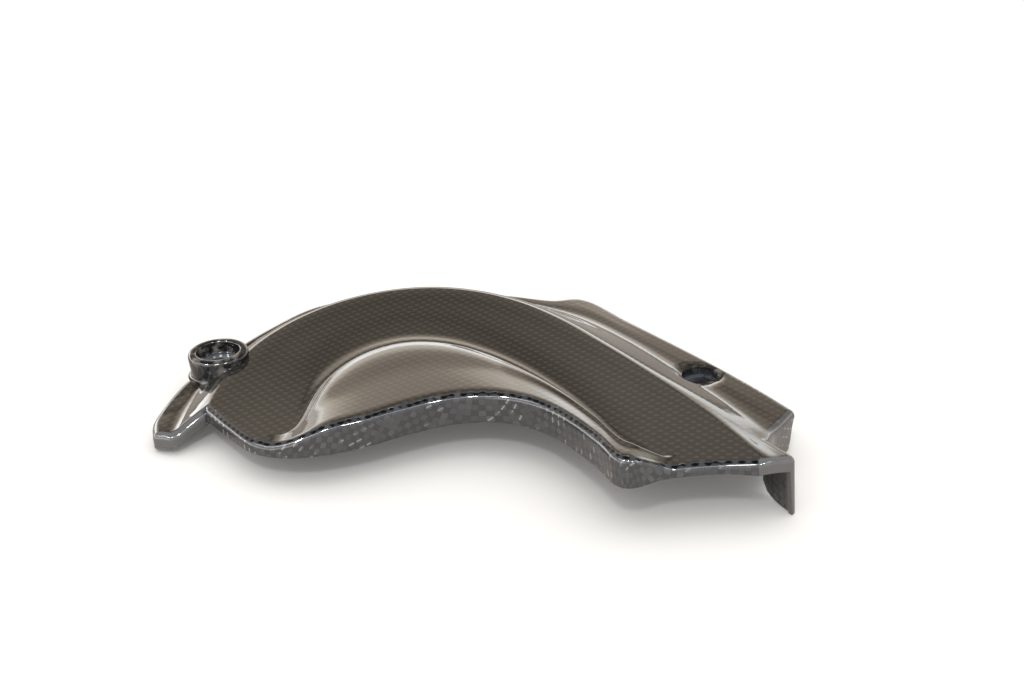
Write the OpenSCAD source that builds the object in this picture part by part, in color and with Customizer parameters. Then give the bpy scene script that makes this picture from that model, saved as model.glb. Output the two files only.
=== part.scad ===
// Sprocket cover for a motorcycle, moulded as one thin laminate shell.
// It lies face up. X runs from the front leg to the rear tail, Y from the open
// side to the crown of the arch, and Z points out of the face, along the bolts.
// The origin is the front bolt hole, on the side that seats on the engine. The
// lines below are drawn from the middle of the arch, with the flange at Z = 0.

/* [Laminate] */
// Thickness of the moulded laminate
wall_t = 1.8; // [1.2:0.1:2.6]
// Inside radius where the laminate rolls over into a lip
lip_inner_r = 0.6; // [0.3:0.1:1.2]

/* [Face] */
// Height of the face over the flange, on the line Y = 0
face_h = 4.6; // [3.5:0.1:7]
// Rise of the face for each millimetre towards the crown
face_rise = 0.02; // [0:0.005:0.04]
// Width of the rounded ridge that edges the face
ridge_w = 2.2; // [1.2:0.1:3]
// Extra width of the ridge where it ends at the front leg
front_flare = 3.2; // [0:0.1:4]
// Fall of the ridge for each millimetre of its width
ridge_fall = 0.27; // [0.1:0.01:0.5]
// Extra fall of the ridge where it ends at the front leg
front_fall = 0.28; // [0:0.01:0.4]

/* [Panel] */
// Height of the raised panel along the open edge
panel_h = 10.4; // [7:0.1:13]
// Height of the edge of the panel over the face
step_h = 1.1; // [0.4:0.1:1.6]
// Depth of the groove that outlines the panel
groove_d = 0.5; // [0.2:0.1:1]
// Distance from the edge of the panel to the bottom of the groove
groove_w = 0.9; // [0.5:0.1:1.5]
// Distance from the edge of the panel to the outer side of the groove
ledge_w = 2.1; // [1.8:0.1:3]
// Width of the hollow band that runs out from the panel to the face
fillet_w = 12; // [8:0.5:14]

/* [Lips] */
// Height of the bottom of the lip along the open edge
near_lip_z = 0; // [-3:0.1:1]
// Depth of the lip round the front leg and the crown
front_lip = 6; // [5:0.1:8]
// Depth of the lip along the rear side of the flange
side_lip = 4; // [3:0.1:6]
// Depth of the wall across the rear end of the flange
rear_lip = 13; // [9:0.1:15]
// Depth of the lip across the end of the tail
tail_lip = 4.8; // [4:0.1:7]
// Depth of the pointed guard at the tip of the tail
guard_d = 18.5; // [14:0.1:22]

/* [Front boss] */
// Centre of the boss along X
boss_x = -101; // [-102:0.1:-100]
// Centre of the boss along Y
boss_y = 48.5; // [47:0.1:50]
// Outside diameter of the boss at its rim
boss_d = 21; // [19.5:0.1:22]
// Inside diameter of the bolt seat
seat_d = 14.8; // [13:0.1:16]
// Height of the rim over the flange
boss_h = 8.6; // [7.5:0.1:10]
// Depth of the bolt seat below the rim
seat_depth = 4.6; // [3.5:0.1:5]
// Taper of the boss wall from its rim to its foot
boss_taper = 0.9; // [0:0.1:1.5]
// Diameter of the bolt hole in the boss
front_hole_d = 6.6; // [5.5:0.1:9]

/* [Rear seat] */
// Centre of the rear seat along X
rear_x = 62.8; // [61.5:0.1:64]
// Centre of the rear seat along Y
rear_y = 27.4; // [26.5:0.1:28.5]
// Diameter of the sunk seat
rear_seat_d = 12; // [11:0.1:13]
// Depth of the sunk seat below the flange
rear_seat_depth = 3.6; // [2:0.1:5]
// Thickness of the floor of the sunk seat
rear_floor_t = 4; // [1.8:0.1:5]
// Diameter of the bolt hole in the rear seat
rear_hole_d = 8.4; // [6:0.1:9]

/* [Hidden] */

lip_r = wall_t + lip_inner_r;

// Lines that the surface is lofted over, one point for each station along the
// arch, from the front leg to the tail. Each is [x, y] in plan.
near_line = [
    [-98.8, 13.4], [-90.4, 1.2], [-81.1, -10.5], [-70.2, -14.7], [-59.1, -13.9],
    [-47.3, -9.9], [-34, -3.3], [-20.5, 1.8], [-8.1, 2.5], [2.8, -0.9],
    [12.5, -8.4], [20.9, -19.6], [28, -32.4], [34.6, -45.2], [45, -41.5],
    [58, -39.8], [75.2, -40.3]];
panel_line = [
    [-99.1, 14.2], [-92, 8], [-84.5, 3.5], [-76.5, 4.5], [-68, 9.6],
    [-60.1, 28.6], [-48.3, 44.3], [-34.2, 50.2], [-20.5, 46.8], [-6.7, 36.4],
    [5.7, 22.5], [16.3, 6.7], [26.1, -11.6], [35.8, -32], [47, -35.5],
    [60, -33], [75.7, -40.1]];
ridge_line = [
    [-99.6, 15.4], [-98.4, 25.5], [-96, 37], [-91.9, 49.9], [-85, 64],
    [-74.3, 78.1], [-60.3, 89.2], [-44.4, 95.2], [-28.1, 95.6], [-12.2, 90.2],
    [3, 79.5], [16.6, 64.3], [29.1, 46.1], [41.3, 27.1], [53, 7.7],
    [64.8, -13.9], [76.4, -39.9]];
valley_line = [
    [-111.2, 5.9], [-109.7, 19.1], [-107.2, 33.9], [-102.7, 50.4], [-95.1, 67.4],
    [-83.3, 83], [-67.2, 94.9], [-47.4, 101.5], [-26.4, 102.1], [-6.4, 97.1],
    [11.4, 87.2], [26.5, 73.1], [39.8, 56], [51.8, 37.4], [62.7, 18.5],
    [72.9, -0.2], [83, -19]];
outer_line = [
    [-115.9, 7.6], [-117.1, 16.5], [-114.5, 29], [-110, 44], [-99.2, 63],
    [-86.5, 82.4], [-71, 98.9], [-48.8, 104], [-25.8, 103.5], [-4, 99.5],
    [14, 93.2], [26, 94], [39.2, 75], [53.7, 54.3], [67.8, 33.7],
    [80.2, 14.2], [91, -4.6]];
// Outer edge of the tail, where it leaves the flange and at its tip
tail_root = [77.4, -24.6];
tail_tip = [84.2, -35.4];

// Stations between which the open edge rises to the panel and falls again
rise_start = [2.3, 4.4];
rise_end = [13.05, 14.4];
// Stations between which the edge of the panel and its groove come and go
step_start = [3.5, 4.6];
step_end = [12.8, 13.8];
// Station where the flange ends and the tail runs on alone
flange_end = 15.7;

function mix(a, b, t) = a + (b - a) * t;
function smooth(a, b, x) = let(t = max(0, min(1, (x - a) / (b - a)))) t * t * (3 - 2 * t);
function unit(v) = v / norm(v);
// Point of a line at station s, on a smooth curve through its points
function along(line, s) =
    let(n = len(line) - 1, i = min(floor(s), n - 1), t = s - i,
        a = line[max(i - 1, 0)], b = line[i], c = line[i + 1], d = line[min(i + 2, n)])
    0.5 * (2 * b + (c - a) * t + (2 * a - 5 * b + 4 * c - d) * t * t
           + (3 * b - a - 3 * c + d) * t * t * t);

face_end = len(ridge_line) - 1;
tail_start = face_end - 1;
steps = 4;
tail_steps = 10;
stations = concat(
    [for (i = [0 : tail_start * steps - 1]) i / steps],
    [for (i = [0 : tail_steps]) tail_start + i / tail_steps]);
cols = len(stations);
flange_col = tail_start * steps + round((flange_end - tail_start) * tail_steps);

function face_z(p) = face_h + face_rise * p[1];
function between(start, end, s) =
    smooth(start[0], start[1], s) * (1 - smooth(end[0], end[1], s));
function near_z(s, p) = mix(face_z(p), panel_h, between(rise_start, rise_end, s));
function with_z(p, z) = [p[0], p[1], z];

// Outer side of the rounded ridge, which widens to the front leg and the tail
function front_end(s) = pow(max(0, 1 - s), 2);
function ridge_side(s) =
    let(r = along(ridge_line, s), v = along(valley_line, s))
    r + unit(v - r) * (ridge_w + front_flare * front_end(s));
function ridge_out(s) =
    s <= tail_start ? ridge_side(s) :
    s <= flange_end ? mix(ridge_side(tail_start), tail_root,
                          (s - tail_start) / (flange_end - tail_start)) :
    mix(tail_root, tail_tip, (s - flange_end) / (face_end - flange_end));

// Share of the way over the ridge where its crest turns down
ridge_crest = 0.5;
wide_crest = 0.7;
crest_fall = 0.6;
// Share of the way down from the ridge, and of the way out over the flange,
// that the hollow between them takes, and the longest it gets
valley_in = 0.3;
valley_out = 0.4;
valley_max = 1.6;
// Longest band along the ridge that stays level, and its share of the face
level_w = 2;
level_share = 0.15;

// One section of the top surface, from the open edge to the outer edge
rows = 18;
ridge_row = 12;
function section(s) =
    let(n = along(near_line, s), p = along(panel_line, s), r = along(ridge_line, s),
        q = ridge_out(s), v = along(valley_line, s), o = along(outer_line, s),
        reach = norm(r - p), side = unit(r - p),
        k = min(1, reach / (fillet_w * 1.6)),
        share = between(step_start, step_end, s),
        step = share * step_h, groove = share * groove_d,
        p1 = p + side * groove_w * k, p2 = p + side * ledge_w * k,
        p3 = p + side * fillet_w * 0.55 * k, p4 = p + side * fillet_w * k,
        p5 = r - side * min(level_w, reach * level_share),
        zn = near_z(s, n), zp = face_z(p) + step, zr = face_z(r),
        zq = face_z(q) - (ridge_fall + front_fall * front_end(s)) * norm(q - r),
        wide = max(smooth(tail_start - 1, face_end - 0.5, s), 1 - smooth(0, 1, s)),
        crest = mix(ridge_crest, wide_crest, wide),
        down = unit(v - q), fall = min(valley_max, norm(v - q) * valley_in),
        out = unit(o - v), run = min(valley_max, norm(o - v) * valley_out),
        zv = zq * fall / norm(v - q) / 2)
    [with_z(n, zn),
     with_z(mix(n, p, 0.2), mix(zn, zp, 0.2)),
     with_z(mix(n, p, 0.5), mix(zn, zp, 0.5)),
     with_z(mix(n, p, 0.8), mix(zn, zp, 0.8)),
     with_z(p, zp),
     with_z(p1, face_z(p1) + step - groove),
     with_z(p2, face_z(p2) + step * 0.9 - groove * 0.85),
     with_z(p3, face_z(p3) + step * 0.12),
     with_z(p4, face_z(p4)),
     with_z(p5, face_z(p5)),
     with_z(r, zr),
     with_z(mix(r, q, crest), mix(zr, zq, crest * mix(crest_fall, 1, wide))),
     with_z(q, zq),
     with_z(mix(q, v, 0.5), mix(zq, 0, 0.5)),
     with_z(v - down * fall, zv * 2),
     with_z(v + out * run * valley_out, zv / 4),
     with_z(mix(v, o, 0.6), 0),
     with_z(o, 0)];

top = [for (s = stations) section(s)];
function id(c, r) = c * rows + r;
function at(c, r) = top[c][r];

// The edge of the surface, walked once round with the open edge first
edge = concat(
    [for (c = [0 : cols - 2]) [c, 0]],
    [for (r = [0 : ridge_row - 1]) [cols - 1, r]],
    [for (c = [cols - 1 : -1 : flange_col + 1]) [c, ridge_row]],
    [for (r = [ridge_row : rows - 2]) [flange_col, r]],
    [for (c = [flange_col : -1 : 1]) [c, rows - 1]],
    [for (r = [rows - 1 : -1 : 1]) [0, r]]);
sides = len(edge);
function flat(i) = let(w = edge[(i + sides) % sides], p = at(w[0], w[1])) [p[0], p[1]];
function heading(i) = unit(flat(i + 1) - flat(i));
function right_of(h) = [h[1], -h[0]];
// Outward direction at a step of the edge, stretched so the lip keeps its width
function outward(i) =
    let(a = heading(i - 1), b = heading(i), h = unit(a + b))
    right_of(h) / max(0.75, h * a);
function bend(i) = let(a = heading(i - 1), b = heading(i)) a[0] * b[1] - a[1] * b[0];

// Sharp outer corners are walked in a fan of directions, which rounds the lip
fan_from = 0.45;
fan = 3;
walk = [for (i = [0 : sides - 1])
    let(a = right_of(heading(i - 1)), b = right_of(heading(i)))
    each bend(i) > fan_from
        ? [for (k = [0 : fan]) [i, unit(mix(a, b, k / fan))]]
        : [[i, outward(i)]]];
turns = len(walk);

// Stations where the lip under the open edge meets the lip of the tail
near_lip_end = [15.3, 16];
// Length over which the wall at the end of the flange deepens from its corner
deepen_w = 5;
// Stations where the front lip runs into the lip along the side of the flange
side_start = [8, 10];

// Bottom of the lip at each step of the edge
flange_corner = along(outer_line, flange_end);
leg_w = norm(outer_line[0] - near_line[0]);
guard_w = norm(tail_root - tail_tip);
function lip_z(i) =
    let(c = edge[i][0], r = edge[i][1], p = at(c, r), tip = norm(flat(i) - tail_tip))
    r == 0 && c > 0 && c < cols - 1
        ? mix(near_lip_z, face_z(p) - tail_lip,
              smooth(near_lip_end[0], near_lip_end[1], stations[c])) :
    c == cols - 1 && r < ridge_row ? p[2] - tail_lip :
    r == ridge_row && c > flange_col
        ? -(rear_lip + (guard_d - rear_lip) * sqrt(max(0, 1 - pow(tip / guard_w, 2)))) :
    c == flange_col
        ? mix(-side_lip, -rear_lip, smooth(0, deepen_w, norm(flat(i) - flange_corner))) :
    r == rows - 1
        ? mix(-front_lip, -side_lip, smooth(side_start[0], side_start[1], stations[c])) :
    mix(near_lip_z, -front_lip, min(1, norm(flat(i) - near_line[0]) / leg_w));

arc = [30, 60, 90];
inner_arc = [45, 90];
function skin(w, radius, drop, angles) =
    let(e = edge[w[0]], p = at(e[0], e[1]), o = w[1])
    concat(
        [for (a = angles) [p[0] + o[0] * radius * sin(a), p[1] + o[1] * radius * sin(a),
                           p[2] - drop - radius * (1 - cos(a))]],
        [[p[0] + o[0] * radius, p[1] + o[1] * radius, lip_z(w[0])]]);
outer_rows = len(arc) + 1;
inner_rows = len(inner_arc) + 1;

grid_points = [for (c = [0 : cols - 1]) for (r = [0 : rows - 1]) at(c, r)];
under_points = [for (p = grid_points) p - [0, 0, wall_t]];
outer_points = [for (w = walk) each skin(w, lip_r, 0, arc)];
inner_points = [for (w = walk) each skin(w, lip_inner_r, wall_t, inner_arc)];
under0 = len(grid_points);
outer0 = under0 * 2;
inner0 = outer0 + turns * outer_rows;

cells = [for (c = [0 : cols - 2]) for (r = [0 : rows - 2])
    if (c < flange_col || r < ridge_row) [c, r]];
function quad(a, b, c, d) =
    a == b ? [[a, c, d]] : a == d ? [[a, b, c]] : [[a, b, c], [a, c, d]];
function edge_id(i) = let(e = edge[walk[i % turns][0]]) id(e[0], e[1]);
function o_id(i, k) = outer0 + (i % turns) * outer_rows + k;
function i_id(i, k) = inner0 + (i % turns) * inner_rows + k;

shell_faces = concat(
    [for (w = cells) let(a = id(w[0], w[1]), b = id(w[0] + 1, w[1]))
        each quad(a, a + 1, b + 1, b)],
    [for (w = cells) let(a = under0 + id(w[0], w[1]), b = under0 + id(w[0] + 1, w[1]))
        each quad(a, b, b + 1, a + 1)],
    [for (i = [0 : turns - 1]) each concat(
        quad(edge_id(i), edge_id(i + 1), o_id(i + 1, 0), o_id(i, 0)),
        quad(under0 + edge_id(i), i_id(i, 0), i_id(i + 1, 0), under0 + edge_id(i + 1)),
        quad(o_id(i, outer_rows - 1), o_id(i + 1, outer_rows - 1),
             i_id(i + 1, inner_rows - 1), i_id(i, inner_rows - 1)))],
    [for (i = [0 : turns - 1]) for (k = [0 : outer_rows - 2])
        each quad(o_id(i, k), o_id(i + 1, k), o_id(i + 1, k + 1), o_id(i, k + 1))],
    [for (i = [0 : turns - 1]) for (k = [0 : inner_rows - 2])
        each quad(i_id(i, k), i_id(i, k + 1), i_id(i + 1, k + 1), i_id(i + 1, k))]);

module laminate() {
    polyhedron(concat(grid_points, under_points, outer_points, inner_points),
               shell_faces, convexity = 8);
}

// The raised boss on the front leg is a ring with a floor for the bolt head
seat_z = boss_h - seat_depth;
rim_round = 1.2;
boss_foot_d = boss_d - 2 * boss_taper;
recess_d = boss_foot_d - 2 * wall_t;
module front_boss() {
    translate([boss_x, boss_y, 0]) rotate_extrude($fn = 64) polygon(concat(
        [[0, seat_z - wall_t], [recess_d / 2, seat_z - wall_t],
         [recess_d / 2, -wall_t], [boss_foot_d / 2, -wall_t], [boss_foot_d / 2, 0]],
        [for (a = [0 : 30 : 90]) [boss_d / 2 - rim_round + rim_round * cos(a),
                                  boss_h - rim_round + rim_round * sin(a)]],
        [for (a = [90 : 30 : 180]) [seat_d / 2 + rim_round / 2 + rim_round / 2 * cos(a),
                                    boss_h - rim_round / 2 + rim_round / 2 * sin(a)]],
        [[seat_d / 2, seat_z], [0, seat_z]]));
}

// The sunk seat on the flange is a cup with a thick floor that hangs below it
cup_r = rear_seat_d / 2 + wall_t;
cup_h = rear_seat_depth + rear_floor_t;
module rear_cup() {
    translate([rear_x, rear_y, -cup_h]) cylinder(h = cup_h - wall_t / 2, r = cup_r, $fn = 48);
}

module seat_cut(x, y, z, d) {
    translate([x, y, z]) cylinder(h = 3 * boss_h, r = d / 2, $fn = 48);
}
module bolt_hole(x, y, d) {
    translate([x, y, -3 * boss_h]) cylinder(h = 6 * boss_h, r = d / 2, $fn = 48);
}

module cover_shell() {
    color([0.13, 0.125, 0.12])
    translate([-boss_x, -boss_y, wall_t - seat_z]) difference() {
        union() {
            difference() {
                laminate();
                bolt_hole(boss_x, boss_y, recess_d);
            }
            front_boss();
            rear_cup();
        }
        seat_cut(rear_x, rear_y, -rear_seat_depth, rear_seat_d);
        bolt_hole(boss_x, boss_y, front_hole_d);
        bolt_hole(rear_x, rear_y, rear_hole_d);
    }
}

cover_shell();
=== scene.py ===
import math

import bmesh
import bpy
import numpy as np
from mathutils import Matrix, Vector


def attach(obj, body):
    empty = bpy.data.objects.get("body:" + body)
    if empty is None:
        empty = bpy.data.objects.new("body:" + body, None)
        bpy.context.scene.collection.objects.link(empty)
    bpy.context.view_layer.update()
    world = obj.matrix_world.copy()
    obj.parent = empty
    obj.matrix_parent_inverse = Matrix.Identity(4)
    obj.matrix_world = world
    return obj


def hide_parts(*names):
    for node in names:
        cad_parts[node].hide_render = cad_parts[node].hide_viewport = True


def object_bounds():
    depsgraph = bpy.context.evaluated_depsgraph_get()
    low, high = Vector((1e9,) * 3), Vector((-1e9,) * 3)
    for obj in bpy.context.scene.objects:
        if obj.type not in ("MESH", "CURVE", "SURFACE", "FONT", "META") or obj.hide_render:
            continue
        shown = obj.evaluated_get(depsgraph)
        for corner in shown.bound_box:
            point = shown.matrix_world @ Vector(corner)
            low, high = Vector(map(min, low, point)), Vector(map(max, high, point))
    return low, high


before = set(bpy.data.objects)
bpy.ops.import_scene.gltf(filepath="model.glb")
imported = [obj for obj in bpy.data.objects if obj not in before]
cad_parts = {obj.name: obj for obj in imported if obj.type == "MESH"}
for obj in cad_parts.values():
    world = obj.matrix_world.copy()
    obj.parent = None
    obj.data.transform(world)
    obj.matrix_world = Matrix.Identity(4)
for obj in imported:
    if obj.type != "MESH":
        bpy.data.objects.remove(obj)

cad_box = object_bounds()
MM = 0.001

# Sizes, in mm
# The lines are drawn from the middle of the arch, with the flange at z = 0,
# and the part's frame has its origin at the front bolt.
TO_FRAME = np.array([101.0, -48.5, -2.2])
WALL = 1.8
LIP_INNER_R = 0.6
LIP_R = WALL + LIP_INNER_R
RIM = 0.35
FACE_H = 4.6
FACE_RISE = 0.02
RIDGE_W = 2.2
FRONT_FLARE = 3.2
RIDGE_FALL = 0.27
TAIL_FALL = -0.03
TAIL_FLARE = 2.8
CREST_FALL = 0.8
FLANGE_TILT = 0.068
FOOT_FALL, FOOT_RUN = 0.45, 0.5
EDGE_EASE, EDGE_RISE = 4.5, 0.35
PANEL_SLOPE = 0.105
EDGE_W = 2.0
PANEL_H = 10.4
STEP_H = 1.1
GROOVE_D = 0.5
GROOVE_W = 0.9
LEDGE_W = 2.1
FILLET_W = 12.0
NEAR_LIP_Z = 0.0
FRONT_LIP = 6.0
SIDE_LIP = 4.0
REAR_LIP = 13.0
TAIL_LIP = 4.8
GUARD_D = 18.5
CORNER_LIP_RUN = 5
BOSS = (-101.0, 48.5)
BOSS_D = 21.0
BOSS_H = 8.6
SEAT_D = 14.8
SEAT_DEPTH = 4.6
BOSS_TAPER = 0.9
BOSS_OVERLAP = 0.6
FRONT_HOLE_D = 6.6
REAR = (62.8, 27.4)
REAR_SEAT_D = 12.0
REAR_SEAT_DEPTH = 3.6
REAR_FLOOR = 4.0
REAR_HOLE_D = 8.4

NEAR_LINE = [
    (-98.8, 13.4), (-90.4, 1.2), (-81.1, -10.5), (-70.2, -14.7), (-59.1, -13.9), (-47.3, -9.9),
    (-34, -3.3), (-20.5, 1.8), (-8.1, 2.5), (2.8, -0.9), (12.5, -8.4), (20.9, -19.6),
    (28, -32.4), (34.6, -45.2), (45, -41.5), (58, -39.8), (75.2, -40.3)]
PANEL_LINE = [
    (-99.1, 14.2), (-91.6, 4.5), (-82.5, -6), (-70.6, -6), (-63, 21), (-55.5, 36.5),
    (-46, 46.2), (-34.2, 50.2), (-20.5, 46.8), (-6.7, 36.4), (5.7, 22.5), (16.3, 6.7),
    (26.1, -11.6), (35.8, -32), (47, -35.5), (60, -33), (75.7, -40.1)]
RIDGE_LINE = [
    (-99.6, 15.4), (-98.4, 25.5), (-96, 37), (-91.9, 49.9), (-85, 64), (-74.3, 78.1),
    (-60.3, 89.2), (-44.4, 95.2), (-28.1, 95.6), (-12.2, 90.2), (3, 79.5), (16.6, 64.3),
    (29.1, 46.1), (41.3, 27.1), (53, 7.7), (64.8, -13.9), (76.4, -39.9)]
VALLEY_LINE = [
    (-111.2, 5.9), (-109.7, 19.1), (-107.2, 33.9), (-102.7, 50.4), (-95.1, 67.4), (-83.3, 83),
    (-67.2, 94.9), (-47.4, 101.5), (-26.4, 102.1), (-6.4, 97.1), (11.4, 87.2), (26.5, 73.1),
    (39.8, 56), (51.8, 37.4), (62.7, 18.5), (72.9, -0.2), (83, -19)]
OUTER_LINE = [
    (-115.9, 7.6), (-117.1, 16.5), (-114.5, 29), (-110, 44), (-99.2, 63), (-86.5, 82.4),
    (-71, 98.9), (-48.8, 104), (-25.8, 103.5), (-4, 99.5), (14, 93.2), (26, 94),
    (39.2, 75), (53.7, 54.3), (67.8, 33.7), (80.2, 14.2), (91, -4.6)]
TAIL_ROOT = np.array([77.4, -24.6])
TAIL_TIP = np.array([84.2, -35.4])
TAIL_START = 15
FACE_END = 16
FLANGE_END = 15.7
# Stations, from 0 at the nose to 16 at the tail, where forms start and end
RISE_START = (2.3, 4.4)
RISE_END = (13.05, 14.4)
STEP_START = (3.1, 4.3)
STEP_END = (12.8, 13.8)
NOSE_END = 2.6
NOSE_TILT = (1.2, 2.2)
REAR_TILT = (8.5, 10)
LEVEL_FROM = 8.5
TAIL_FLARE_FROM = 13.3
TAIL_BEND = (13, 14.5)
LIP_GROWS = (8, 10)
TAIL_LIP_FROM = 15.3


def smooth(a, b, x):
    t = np.clip((x - a) / (b - a), 0, 1)
    return t * t * (3 - 2 * t)


def unit(v):
    return v / np.maximum(np.linalg.norm(v, axis=-1, keepdims=True), 1e-9)


def along(line, s):
    """Points of a line at stations s, on a smooth curve through its points."""
    line = np.array(line, float)
    last = len(line) - 1
    i = np.minimum(np.floor(s).astype(int), last - 1)
    t = (s - i)[:, None]
    a, b = line[np.maximum(i - 1, 0)], line[i]
    c, d = line[i + 1], line[np.minimum(i + 2, last)]
    return 0.5 * (2 * b + (c - a) * t + (2 * a - 5 * b + 4 * c - d) * t * t
                  + (3 * b - a - 3 * c + d) * t ** 3)


def with_z(p, z):
    return np.concatenate([p, np.broadcast_to(z, (len(p),))[:, None]], axis=1)


def face_z(p):
    return FACE_H + FACE_RISE * p[:, 1]


def ridge_side(s):
    r, v = along(RIDGE_LINE, s), along(VALLEY_LINE, s)
    width = (RIDGE_W + FRONT_FLARE * np.maximum(0, 1 - s / NOSE_END) ** 2
             + TAIL_FLARE * smooth(TAIL_FLARE_FROM, TAIL_START, s))
    return r + unit(v - r) * width[:, None]


def ridge_out(s):
    q = ridge_side(s)
    end = ridge_side(np.array([float(TAIL_START)]))[0]
    t = ((s - TAIL_START) / (FLANGE_END - TAIL_START))[:, None]
    u = ((s - FLANGE_END) / (FACE_END - FLANGE_END))[:, None]
    q = np.where(s[:, None] > TAIL_START, end + (TAIL_ROOT - end) * t, q)
    return np.where(s[:, None] > FLANGE_END, TAIL_ROOT + (TAIL_TIP - TAIL_ROOT) * u, q)


def edge_share(s):
    """How far the panel's edge stands out, from 0 to 1."""
    return smooth(*STEP_START, s) * (1 - smooth(*STEP_END, s))


def sections(s):
    """Eighteen guide points for each station, from the open edge to the outer edge."""
    n, p, r = along(NEAR_LINE, s), along(PANEL_LINE, s), along(RIDGE_LINE, s)
    q, v, o = ridge_out(s), along(VALLEY_LINE, s), along(OUTER_LINE, s)
    share = smooth(*RISE_START, s) * (1 - smooth(*RISE_END, s))
    step, groove = STEP_H * edge_share(s), GROOVE_D * edge_share(s)
    reach = np.linalg.norm(r - p, axis=1)
    side = unit(r - p)
    k = np.minimum(1, reach / (FILLET_W * 1.6))

    def out(d):
        return p + side * (d * k)[:, None]

    def between(a, b, t):
        t = np.broadcast_to(t, (len(a),))[:, None]
        return a + (b - a) * t

    zn = face_z(n) + (PANEL_H - face_z(n)) * share
    zp = face_z(p) + step
    wide_np = np.linalg.norm(p - n, axis=1)
    limit = np.where(s > LEVEL_FROM, PANEL_SLOPE, 1.0)
    flat = zn - np.minimum(zn - zp, limit * wide_np)
    rows = [with_z(between(n, p, t), zn + (flat - zn) * t) for t in (0, 0.2, 0.5)]
    ease = 1 - np.minimum(EDGE_EASE, wide_np * 0.25) / np.maximum(wide_np, 1e-6)
    rows.append(with_z(between(n, p, ease),
                       zn + (flat - zn) * ease + EDGE_RISE * edge_share(s)))
    rows.append(with_z(p, zp))
    p1, p2, p3, p4 = out(GROOVE_W), out(LEDGE_W), out(FILLET_W * 0.55), out(FILLET_W)
    pe = r - side * np.minimum(EDGE_W, reach * 0.15)[:, None]
    rows += [with_z(p1, face_z(p1) + step - groove),
             with_z(p2, face_z(p2) + step * 0.9 - groove * 0.85),
             with_z(p3, face_z(p3) + step * 0.12),
             with_z(p4, face_z(p4)),
             with_z(pe, face_z(pe)),
             with_z(r, face_z(r))]
    zr = face_z(r)
    slope = RIDGE_FALL + TAIL_FALL * smooth(*TAIL_BEND, s)
    zq = face_z(q) - slope * np.linalg.norm(q - r, axis=1)
    wide = np.maximum(smooth(TAIL_START - 1, FACE_END - 0.5, s), 1 - smooth(0, 1, s))
    crest = 0.5 + 0.2 * wide
    crest_fall = crest * (CREST_FALL + (1 - CREST_FALL) * wide)
    down, out_dir = unit(v - q), unit(o - v)
    drop = np.linalg.norm(v - q, axis=1)
    fall = np.minimum(FOOT_FALL, drop * 0.3)
    run = np.minimum(FOOT_RUN, np.linalg.norm(o - v, axis=1) * 0.4)
    tilt = FLANGE_TILT * (smooth(*REAR_TILT, s) + 1 - smooth(*NOSE_TILT, s))
    low = -tilt * np.linalg.norm(o - v, axis=1)
    zv = zq * fall / np.maximum(drop, 1e-6) * 0.5
    rows += [with_z(between(r, q, crest), zr + (zq - zr) * crest_fall),
             with_z(q, zq),
             with_z(between(q, v, 0.5), zq * 0.5),
             with_z(v - down * fall[:, None], zv * 2),
             with_z(v + out_dir * (run * 0.4)[:, None], zv * 0.25),
             with_z(between(v, o, 0.6), low * 0.6),
             with_z(o, low)]
    return np.stack(rows, axis=1)


def refine(points, cuts, crease_row, crease):
    """Smooth curve through each station's guide points, with cuts[i] steps in span i."""
    gaps = np.maximum(np.linalg.norm(np.diff(points, axis=1), axis=2), 1e-6)
    slopes = np.diff(points, axis=1) / gaps[:, :, None]
    count = points.shape[1]
    before, after = [], []
    for i in range(count):
        if i == 0 or i == count - 1:
            before.append(slopes[:, max(i - 1, 0)])
            after.append(slopes[:, min(i, count - 2)])
        else:
            a, b = gaps[:, i - 1, None], gaps[:, i, None]
            m = (slopes[:, i - 1] * b + slopes[:, i] * a) / (a + b)
            w = crease[:, None] if i == crease_row else 0
            before.append(m + (slopes[:, i - 1] - m) * w)
            after.append(m + (slopes[:, i] - m) * w)
    rows = [points[:, 0]]
    for i, steps in enumerate(cuts):
        g = gaps[:, i, None]
        for t in np.linspace(0, 1, steps + 1)[1:]:
            h1, h2 = 2 * t**3 - 3 * t**2 + 1, -2 * t**3 + 3 * t**2
            h3, h4 = t**3 - 2 * t**2 + t, t**3 - t**2
            rows.append(h1 * points[:, i] + h2 * points[:, i + 1]
                        + g * (h3 * after[i] + h4 * before[i + 1]))
    return np.stack(rows, axis=1)


TOW_W = 0.002
CLOTH_TURN = 8.0
CLOTH_RADIUS = 9
PRINT_DEPTH = 0.000004
PATCH_SCALE, FINE_SCALE, CLOUD_SCALE = 90.0, 700.0, 260.0
GLOSS, RESIN_IOR = 0.035, 1.5
GLINT_SHARE, PLAIN_SHARE, SEAT_REFLECTION_SHARE = 0.4, 0.96, 0.8
ROLL_WAVE, ROLL_FROM, ROLL_SHARP = 0.3, 0.42, 5.0
FACE_DARK, FACE_LIGHT = (0.024, 0.023, 0.020), (0.052, 0.050, 0.045)
LIP_DARK, LIP_LIGHT = (0.064, 0.067, 0.074), (0.088, 0.092, 0.101)
LIP_TONE_AND_SPARKLE, LIP_GAP = (0.20, 0.21, 0.225), (0.04, 0.041, 0.045)
LIP_PLAIN = (0.165, 0.168, 0.173)
RESIN_DARK, RESIN_LIGHT_AND_REFLECTION = (0.013, 0.013, 0.014), (0.26, 0.25, 0.235)
ROLL_DARK = (0.008, 0.008, 0.008)
SEAT_PAINTED_REFLECTION = (0.11, 0.125, 0.15)
# Colour of the painted glints, highlights of the lamp on the tows
GLINT = (0.75, 0.76, 0.78)

# Share of the painted dark reflection at each step round the open edge's roll
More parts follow.
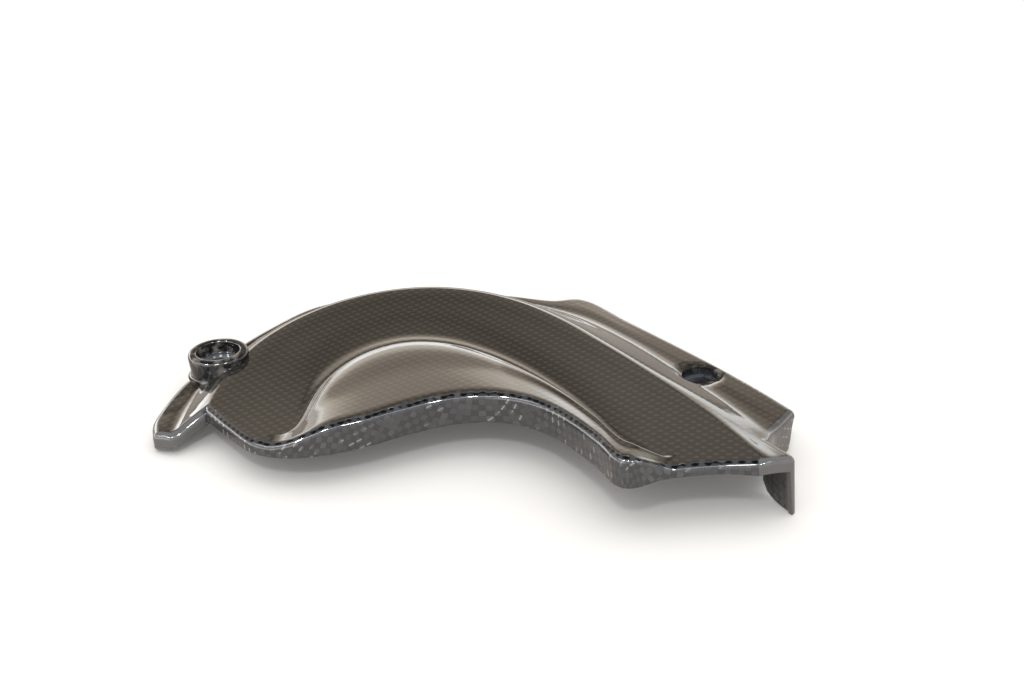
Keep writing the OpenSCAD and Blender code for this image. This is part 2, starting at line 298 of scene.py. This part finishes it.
ROLL_SHADE = [0.32, 0.62, 0.52, 0.2, 0.0, 0.0, 0.0]
DIMPLE, DIMPLE_R = 1.1, 8.2
PLAIN_TAIL = 11.0
STATION_STEPS = 10
TAIL_STEPS = 24
CUTS = [2, 4, 4, 4, 3, 3, 5, 4, 6, 3, 4, 4, 4, 5, 4, 4, 4]
PANEL_ROW, RIDGE_ROW = 4, 12
ARC_STEPS = 7
FAN = 8
FAN_FROM = 0.35


def shell_mesh():
    """The one-piece moulding, lofted over its lines, with lips turned down all round.

    Its cloth map lays the lips out flat beside the edge they hang from."""
    stations = np.concatenate([
        np.arange(0, TAIL_START * STATION_STEPS) / STATION_STEPS,
        TAIL_START + np.arange(TAIL_STEPS + 1) / TAIL_STEPS])
    flange_col = int(np.argmin(abs(stations - FLANGE_END)))
    stations[flange_col] = FLANGE_END
    top = refine(sections(stations), CUTS, PANEL_ROW, edge_share(stations))
    cols, rows = top.shape[:2]
    ridge_row = sum(CUTS[:RIDGE_ROW])

    edge = [(c, 0) for c in range(cols - 1)]
    edge += [(cols - 1, r) for r in range(ridge_row)]
    edge += [(c, ridge_row) for c in range(cols - 1, flange_col, -1)]
    edge += [(flange_col, r) for r in range(ridge_row, rows - 1)]
    edge += [(c, rows - 1) for c in range(flange_col, 0, -1)]
    edge += [(0, r) for r in range(rows - 1, 0, -1)]
    flat = np.array([top[c, r, :2] for c, r in edge])
    ahead = unit(np.roll(flat, -1, axis=0) - flat)
    behind = np.roll(ahead, 1, axis=0)
    bend = behind[:, 0] * ahead[:, 1] - behind[:, 1] * ahead[:, 0]

    def right(h):
        return np.array([h[1], -h[0]])

    corner = along(OUTER_LINE, np.array([FLANGE_END]))[0]
    start = np.array(NEAR_LINE[0])

    def lip_z(i):
        c, r = edge[i]
        p = top[c, r]
        if r == 0 and 0 < c < cols - 1:
            end = FACE_H + FACE_RISE * p[1] - TAIL_LIP
            return NEAR_LIP_Z + (end - NEAR_LIP_Z) * smooth(TAIL_LIP_FROM, FACE_END, stations[c])
        if c == cols - 1 and r < ridge_row:
            return p[2] - TAIL_LIP
        if r == ridge_row and c > flange_col:
            share = np.linalg.norm(p[:2] - TAIL_TIP) / np.linalg.norm(TAIL_ROOT - TAIL_TIP)
            return -(REAR_LIP + (GUARD_D - REAR_LIP) * math.sqrt(max(0, 1 - share**2)))
        if c == flange_col:
            t = smooth(0, CORNER_LIP_RUN, np.linalg.norm(p[:2] - corner))
            return -SIDE_LIP + (SIDE_LIP - REAR_LIP) * t
        if r == rows - 1:
            return -FRONT_LIP + (FRONT_LIP - SIDE_LIP) * smooth(*LIP_GROWS, stations[c])
        t = min(1, np.linalg.norm(p[:2] - start) / np.linalg.norm(OUTER_LINE[0] - start))
        return NEAR_LIP_Z + (-FRONT_LIP - NEAR_LIP_Z) * t

    walk = []
    for i in range(len(edge)):
        a, b = right(behind[i]), right(ahead[i])
        if bend[i] > FAN_FROM:
            walk += [(i, unit(a + (b - a) * k / FAN)) for k in range(FAN + 1)]
        else:
            h = unit(behind[i] + ahead[i])
            walk.append((i, right(h) / max(0.75, float(h @ behind[i]))))

    me = bpy.data.meshes.new("cover_shell_moulding")
    bm = bmesh.new()
    cloth = bm.loops.layers.uv.new("cloth")
    lip_mask = bm.verts.layers.float.new("lip")
    turn_mask = bm.verts.layers.float.new("rolled")
    plain_mask = bm.verts.layers.float.new("plain")
    where = {}

    def vertex(p, uv, lip, roll=0.0, plain=0.0):
        p = np.array(p, float)
        d = np.linalg.norm(p[:2] - REAR)
        if d < DIMPLE_R and lip == 0:
            p[2] -= DIMPLE * smooth(DIMPLE_R, REAR_SEAT_D / 2, d)
        v = bm.verts.new(Vector((p + TO_FRAME) * MM))
        where[v] = (uv[0] * MM, uv[1] * MM)
        v[lip_mask] = lip
        v[turn_mask] = roll
        v[plain_mask] = plain
        return v

    grid = [[vertex(top[c, r], top[c, r, :2], 0) for r in range(rows)]
            for c in range(cols)]
    under = [[vertex(top[c, r] - [0, 0, WALL], top[c, r, :2], 0) for r in range(rows)]
             for c in range(cols)]

    def face(*verts):
        seen = []
        for v in verts:
            if v not in seen:
                seen.append(v)
        if len(seen) > 2:
            try:
                f = bm.faces.new(seen)
            except ValueError:
                return
            f.smooth = True
            for loop in f.loops:
                loop[cloth].uv = where[loop.vert]

    for c in range(cols - 1):
        for r in range(rows - 1):
            if c < flange_col or r < ridge_row:
                face(grid[c][r], grid[c + 1][r], grid[c + 1][r + 1], grid[c][r + 1])
                face(under[c][r], under[c][r + 1], under[c + 1][r + 1], under[c + 1][r])

    arc = np.radians(np.linspace(0, 90, ARC_STEPS + 1)[1:])

    def profile(i, out_dir):
        """The lip's outline from the top surface, down, round its rim and up inside."""
        c, r = edge[i]
        p, z = top[c, r], lip_z(i)
        made = []
        run = 0.0
        for a in arc:
            run = LIP_R * a
            made.append((LIP_R * math.sin(a), p[2] - LIP_R * (1 - math.cos(a)), run))
        start_z = p[2] - LIP_R
        for t in (0.25, 0.5, 0.75, 0.93):
            zz = start_z + (z + RIM - start_z) * t
            made.append((LIP_R, zz, run + start_z - zz))
        deep = run + start_z - z
        made += [(LIP_R, z + RIM, deep - RIM),
                 (LIP_R - RIM * 0.3, z + RIM * 0.3, deep - RIM * 0.2),
                 (LIP_R - RIM, z, deep),
                 (LIP_INNER_R + RIM, z, deep + WALL - 2 * RIM),
                 (LIP_INNER_R + RIM * 0.3, z + RIM * 0.3, deep + WALL - RIM),
                 (LIP_INNER_R, z + RIM, deep + WALL)]
        inner_z = p[2] - WALL - LIP_INNER_R
        for t in (0.5, 1.0):
            zz = z + RIM + (inner_z - z - RIM) * t
            made.append((LIP_INNER_R, zz, deep + WALL + zz - z))
        for a in (60, 30):
            b = math.radians(a)
            made.append((LIP_INNER_R * math.sin(b),
                         p[2] - WALL - LIP_INNER_R * (1 - math.cos(b)),
                         deep + WALL + inner_z - z))
        tail = c == cols - 1 and np.linalg.norm(p[:2] - TAIL_TIP) < PLAIN_TAIL
        plain = 1.0 if (c == 0 and r > sum(CUTS[:11])) or tail else 0.0
        plain = 0.35 if c == flange_col and r >= ridge_row else plain
        # Painted dark reflection along the roll of the open edge
        rolls = ROLL_SHADE if r == 0 and c < cols - 1 else [0.0] * len(arc)
        rolls = rolls + [0.0] * (len(made) - len(arc))
        return [vertex([p[0] + out_dir[0] * d, p[1] + out_dir[1] * d, zz],
                       (p[0] + out_dir[0] * length, p[1] + out_dir[1] * length), 1,
                       roll, plain)
                for (d, zz, length), roll in zip(made, rolls)]

    rings = [profile(i, d) for i, d in walk]
    for k in range(len(walk)):
        m = (k + 1) % len(walk)
        (ca, ra), (cb, rb) = edge[walk[k][0]], edge[walk[m][0]]
        one, two = rings[k], rings[m]
        face(grid[ca][ra], one[0], two[0], grid[cb][rb])
        for j in range(len(one) - 1):
            face(one[j], one[j + 1], two[j + 1], two[j])
        face(one[-1], under[ca][ra], under[cb][rb], two[-1])
    bm.normal_update()
    bm.to_mesh(me)
    bm.free()
    return me


def deselect():
    bpy.ops.object.select_all(action="DESELECT")


def only(obj):
    deselect()
    obj.select_set(True)
    bpy.context.view_layer.objects.active = obj


def at_origin(obj):
    """The object's place goes into its mesh."""
    only(obj)
    bpy.ops.object.transform_apply(location=True, rotation=True, scale=True)


def cylinder(name, centre, radius, low, high, sides=96):
    x, y = centre
    deselect()
    bpy.ops.mesh.primitive_cylinder_add(
        vertices=sides, radius=radius * MM, depth=(high - low) * MM,
        location=Vector((np.array([x, y, (low + high) / 2]) + TO_FRAME) * MM))
    obj = bpy.context.active_object
    obj.name = name
    at_origin(obj)
    return obj


def cut_out(obj, tool):
    mod = obj.modifiers.new("cut", "BOOLEAN")
    mod.operation = "DIFFERENCE"
    mod.solver = "EXACT"
    mod.object = tool
    only(obj)
    bpy.ops.object.modifier_apply(modifier=mod.name)
    bpy.data.objects.remove(tool)


def spun(name, centre, profile, seat, sides=96):
    """A ring turned from its profile of (radius, height) points about a bolt axis.

    The last points, as many as seat says, are the floor that the bolt head sits on."""
    bm = bmesh.new()
    cloth = bm.loops.layers.uv.new("cloth")
    lip_mask = bm.verts.layers.float.new("lip")
    glossy_mask = bm.verts.layers.float.new("resin")
    seat_mask = bm.verts.layers.float.new("seat")
    x, y = centre
    length = np.concatenate([[0], np.cumsum(np.linalg.norm(np.diff(profile, axis=0), axis=1))])
    rings = []
    for row, (r, z) in enumerate(profile):
        ring = []
        for k in range(sides):
            a = 2 * math.pi * k / sides
            p = np.array([x + r * math.cos(a), y + r * math.sin(a), z]) + TO_FRAME
            v = bm.verts.new(Vector(p * MM))
            v[lip_mask] = 1
            v[glossy_mask] = 1
            v[seat_mask] = 1 if row >= len(profile) - seat else 0
            ring.append(v)
        rings.append(ring)
    for i in range(len(profile)):
        j = (i + 1) % len(profile)
        for k in range(sides):
            m = (k + 1) % sides
            f = bm.faces.new([rings[i][k], rings[i][m], rings[j][m], rings[j][k]])
            f.smooth = True
            step = 2 * math.pi * CLOTH_RADIUS / sides
            spots = [(k * step, length[i]), ((k + 1) * step, length[i]),
                     ((k + 1) * step, length[j]), (k * step, length[j])]
            for loop, (u, w) in zip(f.loops, spots):
                loop[cloth].uv = (u * MM, w * MM)
    bmesh.ops.recalc_face_normals(bm, faces=bm.faces)
    me = bpy.data.meshes.new(name)
    bm.to_mesh(me)
    bm.free()
    obj = bpy.data.objects.new(name, me)
    bpy.context.scene.collection.objects.link(obj)
    return obj


# The cloth and its resin
def calculator(nodes, link):
    """A function that adds a Math node and gives back its result."""
    def calc(op, *args, clamp=False):
        m = nodes.new("ShaderNodeMath")
        m.operation = op
        m.use_clamp = clamp
        for sock, val in zip(m.inputs, args):
            if isinstance(val, (int, float)):
                sock.default_value = val
            else:
                link.new(val, sock)
        return m.outputs[0]
    return calc


def weave_group():
    """Plain weave of flat tows: which tow lies on top, its height and a value for each."""
    g = bpy.data.node_groups.new("plain_weave", "ShaderNodeTree")
    io = g.interface
    io.new_socket("Vector", in_out="INPUT", socket_type="NodeSocketVector")
    width = io.new_socket("Tow width", in_out="INPUT", socket_type="NodeSocketFloat")
    width.default_value = TOW_W
    for name in ("Warp", "Height", "Print", "Edge", "Glint", "Value", "Gap"):
        io.new_socket(name, in_out="OUTPUT", socket_type="NodeSocketFloat")
    n, link = g.nodes, g.links
    gin, gout = n.new("NodeGroupInput"), n.new("NodeGroupOutput")
    calc = calculator(n, link)

    sep = n.new("ShaderNodeSeparateXYZ")
    link.new(gin.outputs["Vector"], sep.inputs[0])
    u = calc("DIVIDE", sep.outputs["X"], gin.outputs["Tow width"])
    v = calc("DIVIDE", sep.outputs["Y"], gin.outputs["Tow width"])
    iu, iv = calc("FLOOR", u), calc("FLOOR", v)
    fu, fv = calc("FRACT", u), calc("FRACT", v)
    warp = calc("FLOORED_MODULO", calc("ADD", iu, iv), 2.0)
    weft = calc("SUBTRACT", 1.0, warp)

    def across(f):
        c = calc("SUBTRACT", calc("MULTIPLY", f, 2.0), 1.0)
        return calc("SUBTRACT", 1.0, calc("POWER", calc("ABSOLUTE", c), 3.0))

    def arch(f):
        return calc("SINE", calc("MULTIPLY", f, math.pi))

    hw = calc("MULTIPLY", across(fu), arch(fv))
    hf = calc("MULTIPLY", across(fv), arch(fu))
    height = calc("ADD", calc("MULTIPLY", hw, warp), calc("MULTIPLY", hf, weft))
    cell = n.new("ShaderNodeCombineXYZ")
    link.new(iu, cell.inputs[0])
    link.new(iv, cell.inputs[1])
    white = n.new("ShaderNodeTexWhiteNoise")
    white.noise_dimensions = "2D"
    link.new(cell.outputs[0], white.inputs["Vector"])

    def noise(source, scale, detail):
        t = n.new("ShaderNodeTexNoise")
        t.inputs["Scale"].default_value = scale
        t.inputs["Detail"].default_value = detail
        link.new(source, t.inputs["Vector"])
        return t.outputs["Fac"]

    patch = noise(gin.outputs["Vector"], PATCH_SCALE, 2.0)
    fine = noise(gin.outputs["Vector"], FINE_SCALE, 2.0)
    swell = calc("MULTIPLY", arch(fu), arch(fv))
    side = calc("SUBTRACT", calc("MULTIPLY", warp, 2.0), 1.0)
    depth = calc("MULTIPLY", calc("SUBTRACT", patch, 0.2), 2.0, clamp=True)
    domed = calc("MULTIPLY", swell, side)
    printed = calc("ADD", calc("MULTIPLY", domed, depth), calc("MULTIPLY", fine, 0.35))
    gap = calc("SUBTRACT", 1.0, calc("MULTIPLY", height, 6.0, clamp=True), clamp=True)

    # Painted glint: a short bright dash where a tow dips under its neighbour, on some of the
    # tows, standing in for the highlight a lamp leaves there
    slant = calc("ABSOLUTE", calc("SUBTRACT", fu, fv))
    thin = calc("MULTIPLY", calc("SUBTRACT", 0.22, slant), 9.0, clamp=True)
    middle = calc("ABSOLUTE", calc("SUBTRACT", calc("ADD", fu, fv), 1.0))
    short = calc("MULTIPLY", calc("SUBTRACT", 0.75, middle), 6.0, clamp=True)
    lucky = calc("GREATER_THAN", white.outputs["Value"], 0.35)
    bright_patch = calc("MULTIPLY", calc("SUBTRACT", patch, 0.50), 14.0, clamp=True)
    dash = calc("MULTIPLY", thin, short)
    chosen = calc("MULTIPLY", calc("MULTIPLY", lucky, bright_patch), warp)
    glint = calc("MULTIPLY", dash, chosen)
    for name, out in (("Warp", warp), ("Height", height), ("Print", printed),
                      ("Edge", domed),
                      ("Glint", glint), ("Value", white.outputs["Value"]), ("Gap", gap)):
        link.new(out, gout.inputs[name])
    return g


def carbon_material(weave):
    """Plain-weave carbon laminate under clear gloss resin."""
    mat = bpy.data.materials.new("carbon_laminate")
    mat.use_nodes = True
    nt = mat.node_tree
    nt.nodes.clear()
    n, link = nt.nodes, nt.links
    out = n.new("ShaderNodeOutputMaterial")
    bsdf = n.new("ShaderNodeBsdfPrincipled")
    link.new(bsdf.outputs[0], out.inputs[0])
    uv = n.new("ShaderNodeUVMap")
    uv.uv_map = "cloth"
    turn = n.new("ShaderNodeMapping")
    turn.inputs["Rotation"].default_value = (0, 0, math.radians(CLOTH_TURN))
    link.new(uv.outputs[0], turn.inputs["Vector"])
    w = n.new("ShaderNodeGroup")
    w.node_tree = weave
    w.inputs["Tow width"].default_value = TOW_W
    link.new(turn.outputs[0], w.inputs["Vector"])
    calc = calculator(n, link)

    def mixed(a, b, fac):
        m = n.new("ShaderNodeMix")
        m.data_type = "RGBA"
        for sock, val in ((m.inputs[6], a), (m.inputs[7], b)):
            if isinstance(val, tuple):
                sock.default_value = (*val, 1)
            else:
                link.new(val, sock)
        link.new(fac, m.inputs[0])
        return m.outputs[2]

    def reading(name):
        a = n.new("ShaderNodeAttribute")
        a.attribute_name = name
        return a.outputs["Fac"]

    # Warp tows painted lighter than the weft, and on the face lightest on their crowns: partly
    # the weave pattern, partly painted sheen of the fibres
    crown = calc("MULTIPLY", w.outputs["Warp"], w.outputs["Height"])
    face = mixed(FACE_DARK, FACE_LIGHT, crown)
    tow = mixed(LIP_DARK, LIP_LIGHT, w.outputs["Warp"])
    # Each tow lightened by a random amount, a few much more: partly random tone, partly painted
    # sparkle where tows catch the lamp
    tow = mixed(tow, LIP_TONE_AND_SPARKLE, calc("MULTIPLY", calc("POWER", w.outputs["Value"], 3.0), 0.3))
    tow = mixed(tow, LIP_GAP, calc("MULTIPLY", w.outputs["Gap"], 0.5))
    # Painted highlight: the glint dashes on the lips
    tow = mixed(tow, GLINT, calc("MULTIPLY", w.outputs["Glint"], GLINT_SHARE))
    tow = mixed(tow, LIP_PLAIN, calc("MULTIPLY", reading("plain"), PLAIN_SHARE))
    # Boss and cup: streaks of random tone whose light end is pale enough to stand in for the
    # reflections on the glossy boss wall, so partly painted reflection
    cloud = n.new("ShaderNodeTexNoise")
    cloud.inputs["Scale"].default_value = CLOUD_SCALE
    cloud.inputs["Detail"].default_value = 3.0
    place = n.new("ShaderNodeTexCoord")
    link.new(place.outputs["Object"], cloud.inputs["Vector"])
    streaks_and_reflection = calc("MULTIPLY", calc("SUBTRACT", cloud.outputs["Fac"], 0.5), 4.0, clamp=True)
    tow = mixed(tow, mixed(RESIN_DARK, RESIN_LIGHT_AND_REFLECTION, streaks_and_reflection), reading("resin"))
    # Painted reflection: the bolt seats' floors painted blue-grey for the pale light they mirror
    tow = mixed(tow, SEAT_PAINTED_REFLECTION, calc("MULTIPLY", reading("seat"), SEAT_REFLECTION_SHARE))
    # The lips take lighter, bluer tow colours than the face: the same cloth painted lighter, as
    # painted sheen where it hangs facing the lamps
    skin = mixed(face, tow, reading("lip"))
    # Painted dark reflection: a dark band where the cloth rolls over the open edge, turns away
    # from the light and mirrors the dark space overhead
    shade = calc("ADD", reading("rolled"), calc("MULTIPLY", w.outputs["Edge"], ROLL_WAVE))
    dark = calc("MULTIPLY", calc("SUBTRACT", shade, ROLL_FROM), ROLL_SHARP, clamp=True)
    dark = calc("MULTIPLY", dark, calc("GREATER_THAN", reading("rolled"), 0.03))
    link.new(mixed(skin, ROLL_DARK, dark), bsdf.inputs["Base Color"])

    bump = n.new("ShaderNodeBump")
    bump.inputs["Strength"].default_value = 1.0
    bump.inputs["Distance"].default_value = PRINT_DEPTH
    link.new(w.outputs["Print"], bump.inputs["Height"])
    link.new(bump.outputs[0], bsdf.inputs["Normal"])
    bsdf.inputs["Roughness"].default_value = GLOSS
    bsdf.inputs["IOR"].default_value = RESIN_IOR
    return mat


# The moulding
shell = bpy.data.objects.new("cover_shell_moulding", shell_mesh())
bpy.context.scene.collection.objects.link(shell)

seat_z = BOSS_H - SEAT_DEPTH
foot_r = BOSS_D / 2 - BOSS_TAPER
cut_out(shell, cylinder("boss_cut", BOSS, SEAT_D / 2 + BOSS_OVERLAP, -12, 14))
cut_out(shell, cylinder("seat_cut", REAR, REAR_SEAT_D / 2, -REAR_SEAT_DEPTH, 20))


def rounded(cx, cz, r, a0, a1, steps):
    return [(cx + r * math.cos(math.radians(a)), cz + r * math.sin(math.radians(a)))
            for a in np.linspace(a0, a1, steps)]


boss_profile = (
    [(FRONT_HOLE_D / 2, seat_z - WALL), (SEAT_D / 2 + 0.4, seat_z - WALL),
     (SEAT_D / 2 + 0.4, -WALL), (foot_r + 0.6, -WALL)]
    + rounded(foot_r + 1.6, 1.3, 1.3, 270, 180, 6)
    + rounded(BOSS_D / 2 - 1.5, BOSS_H - 1.5, 1.5, 0, 90, 7)
    + rounded(SEAT_D / 2 + 0.7, BOSS_H - 0.7, 0.7, 90, 180, 5)
    + rounded(SEAT_D / 2 - 0.5, seat_z + 0.5, 0.5, 0, -90, 4)
    + [(FRONT_HOLE_D / 2, seat_z)])
boss = spun("boss_ring", BOSS, np.array(boss_profile), 2)
cup_r = REAR_SEAT_D / 2 + WALL
cup_low = -REAR_SEAT_DEPTH - REAR_FLOOR
cup_profile = [(REAR_HOLE_D / 2, cup_low), (cup_r, cup_low),
               (cup_r, -WALL / 2), (REAR_SEAT_D / 2, -WALL / 2),
               (REAR_SEAT_D / 2, -REAR_SEAT_DEPTH), (REAR_HOLE_D / 2, -REAR_SEAT_DEPTH)]
cup = spun("rear_cup", REAR, np.array(cup_profile), 2)
only(shell)
boss.select_set(True)
cup.select_set(True)
bpy.ops.object.join()
only(shell)
bpy.ops.object.shade_smooth_by_angle(angle=math.radians(40))

shell.data.materials.clear()
shell.data.materials.append(carbon_material(weave_group()))
lowest, highest = np.array(cad_box[0]), np.array(cad_box[1])
spots = np.zeros(len(shell.data.vertices) * 3)
shell.data.vertices.foreach_get("co", spots)
spots = np.clip(spots.reshape(-1, 3), lowest, highest)
shell.data.vertices.foreach_set("co", spots.ravel())
shell.data.update()
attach(shell, "root")
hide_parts("cover_shell")

# The studio
FLOOR_NORMAL = Vector((0.0479, -0.0352, 0.9982))
FLOOR_POINT = Vector((0.1857, -0.0836, -0.0207))
FLOOR_SIZE, FLOOR_GAP = 12, 0.0001
FLOOR_SEEN, FLOOR_BOUNCE, FLOOR_GLOW = (0.93, 0.92, 0.90), (0.72, 0.65, 0.58), 0.08
LAMP_PLACE, LAMP_TARGET = (0.05, -1.0, 1.0), (0.09, 0, 0)
LAMP_SIZE, LAMP_POWER = 0.12, 2.7

# What the gloss mirrors, by height: a bright horizon and a warm wall behind, dark
# overhead, and a bank of windows in front. Levels are divided by MIRROR_LEVEL.
MIRROR_LEVEL = 10.0
REAR_SKY = [(0.0, 0.66, 0.58, 0.50), (0.052, 0.66, 0.58, 0.50), (0.075, 3.0, 3.0, 2.95),
            (0.15, 3.0, 2.95, 2.85), (0.20, 2.0, 1.84, 1.62), (0.26, 1.72, 1.50, 1.26),
            (0.30, 1.05, 0.89, 0.73), (0.36, 0.86, 0.72, 0.58), (0.415, 0.36, 0.29, 0.22),
            (0.45, 0.20, 0.16, 0.11), (0.50, 0.62, 0.52, 0.42), (0.62, 0.40, 0.34, 0.28),
            (0.70, 0.05, 0.05, 0.05), (1.0, 0.02, 0.02, 0.02)]
FRONT_SKY = [(0.0, 1.2, 1.2, 1.2), (0.34, 1.4, 1.4, 1.4), (0.59, 1.4, 1.4, 1.4),
             (0.61, 7.5, 7.6, 7.9), (0.68, 7.5, 7.6, 7.9), (0.70, 1.4, 1.4, 1.4),
             (0.82, 0.06, 0.06, 0.06), (1.0, 0.02, 0.02, 0.02)]
FRONT_TO_REAR = (-0.15, 0.15)
# The left of the horizon is dimmer, with a window at its far end
DIM_X, DIM_COLOR = (-0.2, -0.3), (0.125, 0.116, 0.105)
DIM_Z = [(0.0, 0), (0.03, 0), (0.05, 1), (0.13, 1), (0.18, 0)]
WINDOW_X, WINDOW_COLOR = (-0.39, -0.44), (0.33, 0.325, 0.32)
WINDOW_Z = [(0.0, 0), (0.03, 0), (0.06, 1), (0.26, 1), (0.33, 0)]
# Everything mirrored is brighter towards the left
LEFT_RIGHT, LEFT_LEVEL, RIGHT_LEVEL = (-0.5, 0.3), 1.5, 0.8
# Small lamps, which only the gloss sees
LAMPS = [(-0.05, -0.7, 0.72), (0.45, -0.6, 0.7), (-0.55, -0.5, 0.7)]
LAMP_EDGE, LAMP_COLOR = (0.9965, 0.9980), (9.0, 9.0, 9.2)
DOME_COLOR, DOME_LOW, DOME_HIGH = (1.0, 0.985, 0.965), 0.45, 1.35

CAMERA_PLACE = Vector((0.11992, -0.62031, 0.29856))
CAMERA_RIGHT = Vector((0.998027, 0, -0.062791))
CAMERA_UP = Vector((0.056674, 0.430511, 0.900804))
CAMERA_BACK = Vector((0.027032, -0.902585, 0.429662))
LENS, SENSOR_W = 70.3125, 36


def floor_material():
    """White with a slight glow to the camera, and a warm grey to all that it lights."""
    mat = bpy.data.materials.new("studio_white")
    mat.use_nodes = True
    n, link = mat.node_tree.nodes, mat.node_tree.links
    n.clear()
    calc = calculator(n, link)
    out = n.new("ShaderNodeOutputMaterial")
    add = n.new("ShaderNodeAddShader")
    shown = n.new("ShaderNodeMixShader")
    matt = n.new("ShaderNodeBsdfDiffuse")
    matt.inputs["Color"].default_value = (*FLOOR_SEEN, 1)
    warm = n.new("ShaderNodeBsdfDiffuse")
    warm.inputs["Color"].default_value = (*FLOOR_BOUNCE, 1)
    glow = n.new("ShaderNodeEmission")
    glow.inputs["Color"].default_value = (1, 1, 1, 1)
    seen = n.new("ShaderNodeLightPath").outputs["Is Camera Ray"]
    link.new(calc("MULTIPLY", seen, FLOOR_GLOW), glow.inputs["Strength"])
    link.new(seen, shown.inputs[0])
    link.new(warm.outputs[0], shown.inputs[1])
    link.new(matt.outputs[0], shown.inputs[2])
    link.new(shown.outputs[0], add.inputs[0])
    link.new(glow.outputs[0], add.inputs[1])
    link.new(add.outputs[0], out.inputs[0])
    return mat


def studio_world():
    """White to the camera, a soft dome to matt surfaces and the studio to the gloss."""
    world = bpy.data.worlds.new("studio")
    bpy.context.scene.world = world
    world.use_nodes = True
    n, link = world.node_tree.nodes, world.node_tree.links
    n.clear()
    calc = calculator(n, link)
    out = n.new("ShaderNodeOutputWorld")
    toward = n.new("ShaderNodeTexCoord").outputs["Generated"]
    sep = n.new("ShaderNodeSeparateXYZ")
    link.new(toward, sep.inputs[0])
    x, y, z = sep.outputs

    def ramp(value, stops):
        r = n.new("ShaderNodeValToRGB")
        e = r.color_ramp.elements
        while len(e) < len(stops):
            e.new(0.5)
        for el, (pos, col) in zip(e, stops):
            el.position = pos
            el.color = (*col, 1)
        link.new(value, r.inputs[0])
        return r.outputs[0]

    def sky(stops):
        return ramp(z, [(h, tuple(c / MIRROR_LEVEL for c in col)) for h, *col in stops])

    def mask(stops):
        return ramp(z, [(h, (level, level, level)) for h, level in stops])

    def stretch(value, start, end, low=0.0, high=1.0):
        m = n.new("ShaderNodeMapRange")
        for name, number in (("From Min", start), ("From Max", end),
                             ("To Min", low), ("To Max", high)):
            m.inputs[name].default_value = number
        link.new(value, m.inputs["Value"])
        return m.outputs[0]

    def blend(share, a, b):
        m = n.new("ShaderNodeMix")
        m.data_type = "RGBA"
        link.new(share, m.inputs[0])
        link.new(a, m.inputs[6])
        if isinstance(b, tuple):
            m.inputs[7].default_value = (*b, 1)
        else:
            link.new(b, m.inputs[7])
        return m.outputs[2]

    def background(color, strength=None):
        b = n.new("ShaderNodeBackground")
        if isinstance(color, tuple):
            b.inputs["Color"].default_value = (*color, 1)
        else:
            link.new(color, b.inputs["Color"])
        if strength is not None:
            link.new(strength, b.inputs["Strength"])
        return b.outputs[0]

    def choose(share, a, b):
        m = n.new("ShaderNodeMixShader")
        for sock, val in zip(m.inputs, (share, a, b)):
            link.new(val, sock)
        return m.outputs[0]

    color = blend(stretch(y, *FRONT_TO_REAR), sky(FRONT_SKY), sky(REAR_SKY))
    color = blend(calc("MULTIPLY", stretch(x, *DIM_X), mask(DIM_Z)), color, DIM_COLOR)
    color = blend(calc("MULTIPLY", stretch(x, *WINDOW_X), mask(WINDOW_Z)), color, WINDOW_COLOR)
    for lamp in LAMPS:
        facing = n.new("ShaderNodeVectorMath")
        facing.operation = "DOT_PRODUCT"
        facing.inputs[1].default_value = Vector(lamp).normalized()
        link.new(toward, facing.inputs[0])
        color = blend(stretch(facing.outputs["Value"], *LAMP_EDGE), color, LAMP_COLOR)
    level = stretch(x, *LEFT_RIGHT, MIRROR_LEVEL * LEFT_LEVEL, MIRROR_LEVEL * RIGHT_LEVEL)
    dome = background(DOME_COLOR, stretch(z, 0, 1, DOME_LOW, DOME_HIGH))
    seen = n.new("ShaderNodeLightPath")
    lit = choose(seen.outputs["Is Glossy Ray"], dome, background(color, level))
    final = choose(seen.outputs["Is Camera Ray"], lit, background((1, 1, 1)))
    link.new(final, out.inputs[0])


def soft_light(name, place, target, size, power):
    lamp = bpy.data.lights.new(name, "AREA")
    lamp.shape = "RECTANGLE"
    lamp.size = lamp.size_y = size
    lamp.energy = power
    obj = bpy.data.objects.new(name, lamp)
    bpy.context.scene.collection.objects.link(obj)
    obj.location = place
    obj.rotation_mode = "QUATERNION"
    obj.rotation_quaternion = (Vector(target) - Vector(place)).to_track_quat("-Z", "Y")


def place_camera():
    """The camera at the photo's viewing angle."""
    cam = bpy.data.cameras.new("camera")
    cam.lens = LENS
    cam.sensor_width = SENSOR_W
    cam.clip_start, cam.clip_end = 0.01, 50
    camera = bpy.data.objects.new("camera", cam)
    bpy.context.scene.collection.objects.link(camera)
    pose = Matrix((CAMERA_RIGHT, CAMERA_UP, CAMERA_BACK)).transposed().to_4x4()
    pose.translation = CAMERA_PLACE
    camera.matrix_world = pose
    bpy.context.scene.camera = camera


deselect()
bpy.ops.mesh.primitive_plane_add(size=FLOOR_SIZE)
floor = bpy.context.active_object
floor.name = "studio_floor"
floor.matrix_world = (Matrix.Translation(FLOOR_POINT - FLOOR_NORMAL * FLOOR_GAP)
                      @ FLOOR_NORMAL.to_track_quat("Z", "Y").to_matrix().to_4x4())
floor.data.materials.append(floor_material())
studio_world()
soft_light("front_lamp", LAMP_PLACE, LAMP_TARGET, LAMP_SIZE, LAMP_POWER)
place_camera()
bpy.context.scene.view_settings.view_transform = "Standard"

bpy.context.view_layer.update()
